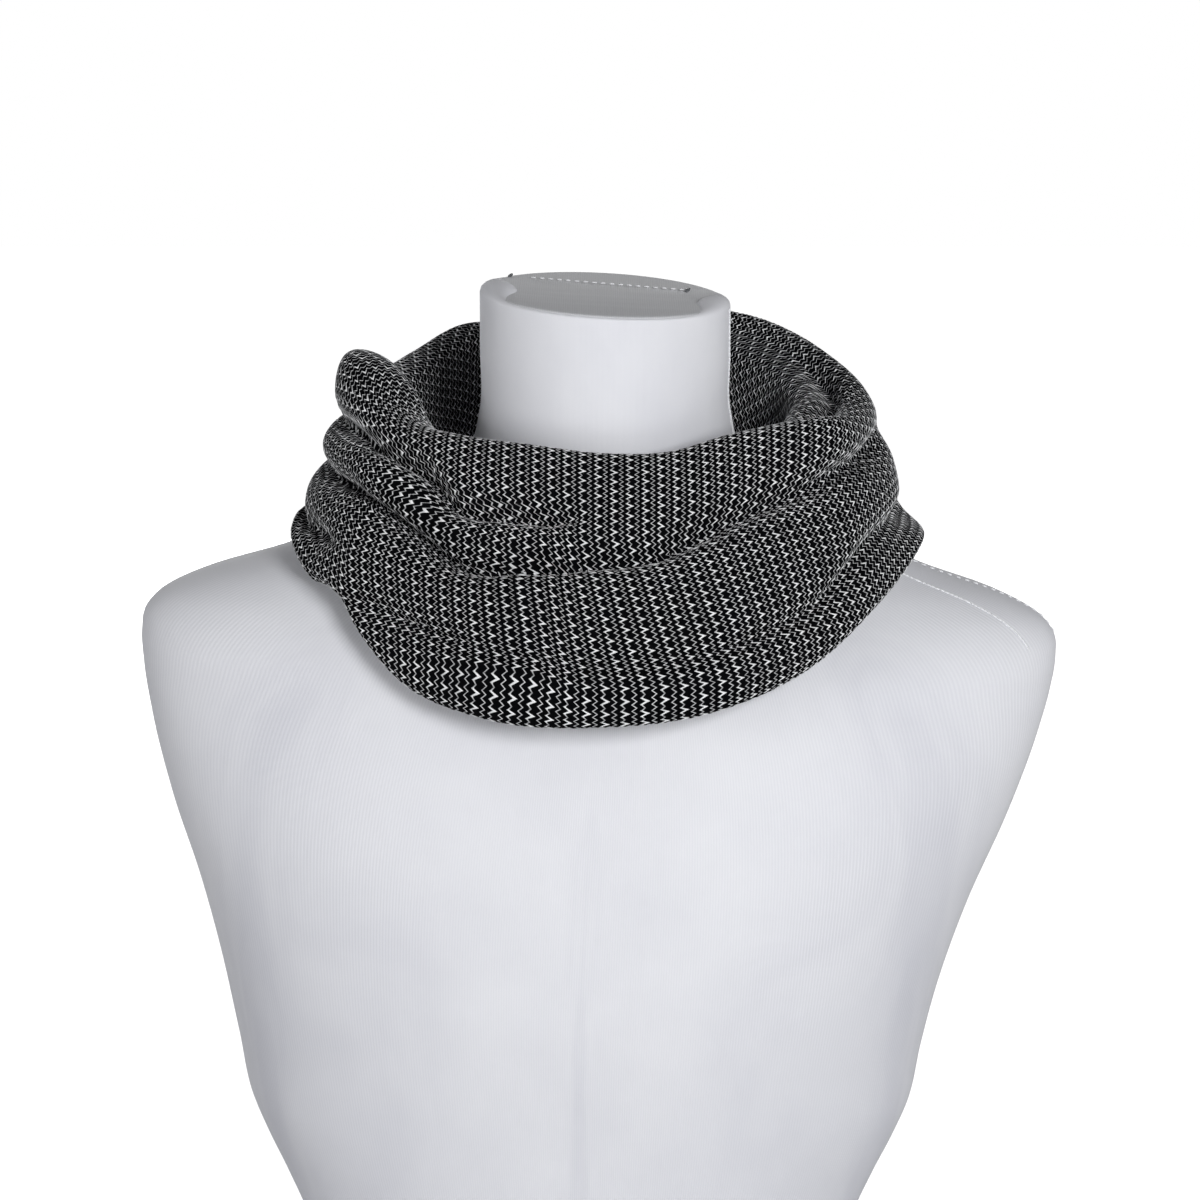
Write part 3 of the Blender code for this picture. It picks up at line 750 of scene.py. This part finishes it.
def drapedGrid():
    # guide profiles on mesh rows that are even where the cloth shows, how far the stitch rows are
    # dragged at each point, and the distance of each point from the crest
    angles = np.arange(scarf["guides"]) * 360 / scarf["guides"] - 180
    grid, drag, down = [], [], []
    leanTable, sawTable = np.array(scarf["lean"]), np.array(scarf["cordSaw"])
    (spanStart, spanEnd), (fadeStart, fadeEnd) = scarf["cordSpan"], scarf["cordFade"]
    for angle in angles:
        line, distance, crest, places = drapedLine(angle)
        top = distance[crest]
        span = min(scarf["evenSpan"], distance[-1] - top - scarf["leastTuck"])
        even = np.interp(np.arange(scarf["rows"]), (0, *scarf["evenRows"], scarf["rows"] - 1),
                         (0, top, top + span, distance[-1]))
        turn = math.radians(angle)
        radius, height = (np.interp(even, distance, line[:, k]) for k in (0, 1))
        grid.append(np.stack([radius * math.sin(turn), -radius * math.cos(turn), height], axis=1))
        fromCrest = even - top
        lean = np.interp(angle, leanTable[:, 0], leanTable[:, 1])
        leaning = lean * np.clip((fromCrest - scarf["leanStart"]) / scarf["leanSpan"], 0, scarf["leanMost"])
        upper, lower = distance[places["upperLeft"]], distance[places["middleLeft"]]
        across = (even - upper) / max(lower - upper, scarf["cordLeast"])
        saw = np.interp(across, sawTable[:, 0], sawTable[:, 1])
        held = smoothStep((angle - spanStart) / fadeStart) * smoothStep((spanEnd - angle) / fadeEnd)
        drag.append(leaning + scarf["cordDrag"] * held * saw)
        down.append(fromCrest)
    grid = clearOfForm(np.array(grid), scarf["clothThickness"] + scarf["clothToForm"])
    return angles, grid, np.array(drag), np.array(down)


def stitchGrid():
    # the drape resampled so that its columns follow the rows of knitting, the local spacing of
    # those rows, and the distance of each point from the crest
    angles, grid, drag, down = drapedGrid()
    count, columns = scarf["courses"], scarf["courses"] * scarf["steps"]
    rows = grid.shape[1]
    front = smoothStep((scarf["frontSpan"] - np.abs(angles)) / scarf["frontFade"])
    frontEdge = 0.5 * (front + np.roll(front, -1))
    points, depth = np.empty((columns, rows, 3)), np.empty((columns, rows))
    wanted = np.arange(columns) / scarf["steps"]
    middle = int(np.argmin(np.abs(angles)))
    for row in range(rows):
        edge = np.linalg.norm(np.roll(grid[:, row], -1, axis=0) - grid[:, row], axis=1)
        shown = (frontEdge * edge).sum() / scarf["courseSpacing"]
        rest = (count - shown) / ((1 - frontEdge) * edge).sum()
        density = frontEdge / scarf["courseSpacing"] + (1 - frontEdge) * max(rest, scarf["leastDensity"])
        steps = density * edge
        steps *= count / steps.sum()
        course = np.concatenate([[0], np.cumsum(steps)])[:-1]
        course = course - course[middle] - drag[:, row] / scarf["courseSpacing"] + 0.5 * count
        long = np.concatenate([course - count, course, course + count])
        long = np.maximum.accumulate(long)
        place = np.interp(wanted, long, np.arange(3 * len(course)))
        at = np.floor(place).astype(int)
        part = (place - at)[:, None]
        points[:, row] = grid[at % len(course), row] * (1 - part) + grid[(at + 1) % len(course), row] * part
        depth[:, row] = down[at % len(course), row]
    step = np.linalg.norm(np.roll(points, -1, axis=0) - points, axis=-1)
    spacing = scarf["steps"] * 0.5 * (step + np.roll(step, 1, axis=0))
    return points, spacing, depth


def gridNormals(grid):
    around = np.roll(grid, -1, axis=0) - np.roll(grid, 1, axis=0)
    down = np.gradient(grid, axis=1)
    normal = -np.cross(around, down)
    return normal / np.maximum(np.linalg.norm(normal, axis=-1), 1e-12)[..., None]


yarn = {
    "halfWidth": (0.14, 0.74),      # mm of white at a thin row and at a bold tick
    "softEdge": 0.28,               # mm
    "bright": (0.38, 1.20),         # painted brightness: darker for a sunk link, as in shade, and brighter for a bold tick, as lit
    "unevenBright": (0.78, 1.08),   # from stitch to stitch
    "patchyBright": (0.82, 1.12),   # from patch to patch, of about five rows
    "wool": ("5A5D62", "FCFDFF"),
    "dark": ("010101", "0D0E12"),
    "blackStrand": (1.1, 1.55),     # mm from the white row over which the black one rises
    "blackRise": 0.7,
    "fibreRise": 0.35,
}


def knitMaterial():
    # Two-ply wool, weft-knitted in black with every other row white, and the white rows by
    # turns a plain thin row and one of long slipped stitches. The eye gets thin white zigzags
    # and bold white ticks on a matt black ground, a little hairy, with no gloss.
    material, tree, shader = newMaterial("two-colour weft-knitted wool", Roughness=0.95, IOR=1.5,
                                         Specular_IOR_Level=0.04, Sheen_Weight=0.0)
    # row of knitting, stitch along it and boldness
    stitch = addNode(tree, "ShaderNodeAttribute", attribute_name="stitch").outputs["Vector"]
    course, wale, bold = addNode(tree, "ShaderNodeSeparateXYZ", {0: stitch}).outputs
    row = addNode(tree, "ShaderNodeMath", {0: course}, operation="ROUND").outputs[0]
    side = addNode(tree, "ShaderNodeMath", {0: course, 1: row}, operation="SUBTRACT")
    away = addNode(tree, "ShaderNodeMath", {0: side.outputs[0]}, operation="ABSOLUTE")
    # mm from the middle of the white yarn
    off = addNode(tree, "ShaderNodeMath", {0: away.outputs[0], 1: 1000 * scarf["courseSpacing"]},
                  operation="MULTIPLY").outputs[0]
    thin, thick = yarn["halfWidth"]
    inner = addNode(tree, "ShaderNodeMapRange", {0: bold, 3: thin, 4: thick}).outputs[0]
    outer = addNode(tree, "ShaderNodeMath", {0: inner, 1: yarn["softEdge"]}, operation="ADD").outputs[0]
    white = addNode(tree, "ShaderNodeMapRange", {0: off, 1: inner, 2: outer, 3: 1.0, 4: 0.0},
                    interpolation_type="SMOOTHSTEP").outputs[0]
    # brightness of the white yarn: bold ticks are painted brighter, as lit, and thin rows, which sink in, are
    # painted darker, as in shade
    pair = addNode(tree, "ShaderNodeMath", {0: wale, 1: 2.0}, operation="SNAP")
    cell = addNode(tree, "ShaderNodeCombineXYZ", {0: row, 1: pair.outputs[0]})
    chance = addNode(tree, "ShaderNodeTexWhiteNoise", {"Vector": cell.outputs[0]}, noise_dimensions="2D")
    patch = addNode(tree, "ShaderNodeTexNoise", {"Vector": stitch, "Scale": 0.22, "Detail": 3.0})
    low, high = yarn["bright"]
    level = addNode(tree, "ShaderNodeMapRange", {0: bold, 1: -1.0, 3: low, 4: high})
    low, high = yarn["unevenBright"]
    uneven = addNode(tree, "ShaderNodeMapRange", {0: chance.outputs["Value"], 3: low, 4: high})
    low, high = yarn["patchyBright"]
    patchy = addNode(tree, "ShaderNodeMapRange", {0: patch.outputs["Fac"], 1: 0.3, 2: 0.7, 3: low, 4: high})
    mixed = addNode(tree, "ShaderNodeMath", {0: uneven.outputs[0], 1: patchy.outputs[0]},
                    operation="MULTIPLY")
    bright = addNode(tree, "ShaderNodeMath", {0: level.outputs[0], 1: mixed.outputs[0]},
                     operation="MULTIPLY", use_clamp=True)
    # fibres of 0.3 to 0.4 mm
    fibre = addNode(tree, "ShaderNodeTexNoise",
                    {"Vector": stitch, "Scale": 9.0, "Detail": 3.0}).outputs["Fac"]
    shade, light = (srgb(code) for code in yarn["wool"])
    wool = addNode(tree, "ShaderNodeMix", {0: bright.outputs[0], 6: shade, 7: light}, data_type="RGBA")
    shade, light = (srgb(code) for code in yarn["dark"])
    dark = addNode(tree, "ShaderNodeMix", {0: fibre, 6: shade, 7: light}, data_type="RGBA")
    both = addNode(tree, "ShaderNodeMix", {0: white, 6: dark.outputs[2], 7: wool.outputs[2]},
                   data_type="RGBA")
    tree.links.new(both.outputs[2], shader.inputs["Base Color"])
    # relief of the strands: the white one, and a black one each side of it
    start, end = yarn["blackStrand"]
    black = addNode(tree, "ShaderNodeMapRange", {0: off, 1: start, 2: end, 3: 0.0, 4: yarn["blackRise"]})
    raised = addNode(tree, "ShaderNodeMapRange", {0: off, 1: 0.0, 2: outer, 3: 1.0, 4: 0.0})
    higher = addNode(tree, "ShaderNodeMath", {0: black.outputs[0], 1: raised.outputs[0]},
                     operation="MAXIMUM")
    rise = addNode(tree, "ShaderNodeMath", {0: fibre, 1: yarn["fibreRise"], 2: higher.outputs[0]},
                   operation="MULTIPLY_ADD")
    bump = addNode(tree, "ShaderNodeBump", {"Height": rise.outputs[0], "Strength": 0.7, "Distance": 0.0005})
    tree.links.new(bump.outputs["Normal"], shader.inputs["Normal"])
    return material


def stitchPattern(columns, rows):
    # how far each mesh point leans along the loop, and how bold its stitch is
    course = np.arange(columns) / scarf["steps"]
    nearest = np.floor(course + 0.5).astype(int)
    slipped = np.where(nearest % 2 == 1, 1.0, 0.0)
    slipped[np.abs(course - nearest) == 0.5] = 0.5
    # ticks of neighbouring slipped rows are by turns a stitch apart, above the folds
    row = np.arange(rows)
    lead = 2 * ((nearest // 2) % 2)[:, None] * (row < scarf["offsetRows"])[None, :]
    phase = (row[None, :] + lead) % 4
    tick, plain = np.array(scarf["tick"])[phase], scarf["zigzag"] * np.where(row % 2, 1.0, -1.0)[None, :]
    weight = slipped[:, None]
    return weight * tick + (1 - weight) * plain, weight * np.array(scarf["boldness"])[phase]


def addScarf():
    points, spacing, depth = stitchGrid()
    columns, rows = points.shape[:2]
    normal = gridNormals(points)
    around = np.roll(points, -1, axis=0) - np.roll(points, 1, axis=0)
    around /= np.maximum(np.linalg.norm(around, axis=-1), 1e-12)[..., None]
    room = np.clip(spacing / scarf["courseSpacing"], *scarf["roomSpan"])[..., None]
    course = np.arange(columns) / scarf["steps"]
    sway, bold = stitchPattern(columns, rows)
    relief = scarf["relief"] * np.cos(2 * math.pi * course)[:, None]
    # the join that closes the loop stands up a little below the folds
    (start, end), (startFade, endFade) = scarf["joinSpan"], scarf["joinFade"]
    shown = smoothStep((depth - start) / startFade) * smoothStep((end - depth) / endFade)
    ridge = np.exp(-((course - scarf["joinCourse"]) / scarf["joinWidth"]) ** 2)
    relief = relief + scarf["joinRise"] * shown * ridge[:, None]
    outer = points + room * (sway[..., None] * around + relief[..., None] * normal)
    inner = points - scarf["clothThickness"] * normal
    quarter = columns // len(scarf["quarters"])
    stepAround, stepDown = scarf["innerSteps"]
    knit = knitMaterial()
    pieces = []
    for index, name in enumerate(scarf["quarters"]):
        # each quarter ends in black, half a course past a white row; the loop starts at the back
        order = np.arange(quarter + 1) + index * quarter + scarf["steps"] // 2
        picked = order % columns
        stitch = np.stack(np.broadcast_arrays(order[:, None] / scarf["steps"], 0.5 * np.arange(rows)[None, :],
                                              bold[picked]), axis=-1)
        inside = inner[picked][::stepAround, ::stepDown]
        pieces.append(addQuarter("scarf_" + name, outer[picked], inside, stitch, knit))
    return pieces


def addQuarter(name, outside, inside, coords, material):
    # one quarter of the loop: a fine outer face, a coarser inner face and the rim between them
    wide, tall = outside.shape[:2]
    wideIn, tallIn = inside.shape[:2]
    stepAround, stepDown = scarf["innerSteps"]
    start = wide * tall
    faces = []
    for i in range(wide - 1):
        for k in range(tall - 1):
            faces.append((i * tall + k, i * tall + k + 1, (i + 1) * tall + k + 1, (i + 1) * tall + k))
    for i in range(wideIn - 1):
        for k in range(tallIn - 1):
            a = start + i * tallIn + k
            faces.append((a, a + tallIn, a + tallIn + 1, a + 1))
    broad = len(faces)
    for i in range(wideIn - 1):
        fine = [(stepAround * i + n) * tall for n in range(stepAround + 1)]
        near, far = start + i * tallIn, start + (i + 1) * tallIn
        faces.append((far, near, *fine))
        fine = [place + tall - 1 for place in reversed(fine)]
        faces.append((near + tallIn - 1, far + tallIn - 1, *fine))
    for k in range(tallIn - 1):
        fine = [stepDown * k + n for n in range(stepDown + 1)]
        faces.append((start + k, start + k + 1, *reversed(fine)))
        last = start + (wideIn - 1) * tallIn
        faces.append((last + k + 1, last + k, *((wide - 1) * tall + place for place in fine)))
    points = np.concatenate([outside.reshape(-1, 3), inside.reshape(-1, 3)])
    stitches = np.concatenate([coords.reshape(-1, 3), coords[::stepAround, ::stepDown].reshape(-1, 3)])
    piece = newMesh(name, points, faces, material, {"stitch": stitches})
    # the rim's faces are flat, so that they don't bend the shading of the outer face
    piece.data.polygons.foreach_set("use_smooth", np.arange(len(faces)) < broad)
    addMap(piece, coords, start)
    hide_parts("scarf_loop")
    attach(piece, "root")
    return piece


flatMap = {
    # places on the unit square: start and length
    "u": (0.003, 0.994),
    "outerV": (0.004, 0.88),
    "innerV": (0.895, 0.1),
}


def addMap(piece, coords, start):
    # flat map: the outer face fills most of the square, and the inner face takes a strip
    mesh = piece.data
    corner = np.empty(len(mesh.loops), int)
    mesh.loops.foreach_get("vertex_index", corner)
    place = np.empty((len(mesh.vertices), 3), np.float32)
    mesh.attributes["stitch"].data.foreach_get("vector", place.reshape(-1))
    low, high = coords.reshape(-1, 3).min(axis=0), coords.reshape(-1, 3).max(axis=0)
    share = (place - low) / (high - low)
    left, width = flatMap["u"]
    isInner = np.arange(len(place)) >= start
    bottom, height = (np.where(isInner, *pair) for pair in zip(flatMap["innerV"], flatMap["outerV"]))
    u, v = left + width * share[:, 0], bottom + height * share[:, 1]
    layer = mesh.uv_layers.new(name="OFBake")
    layer.data.foreach_set("uv", np.stack([u[corner], v[corner]], axis=1).astype(np.float32).reshape(-1))


quarters = addScarf()
print("scarf done")
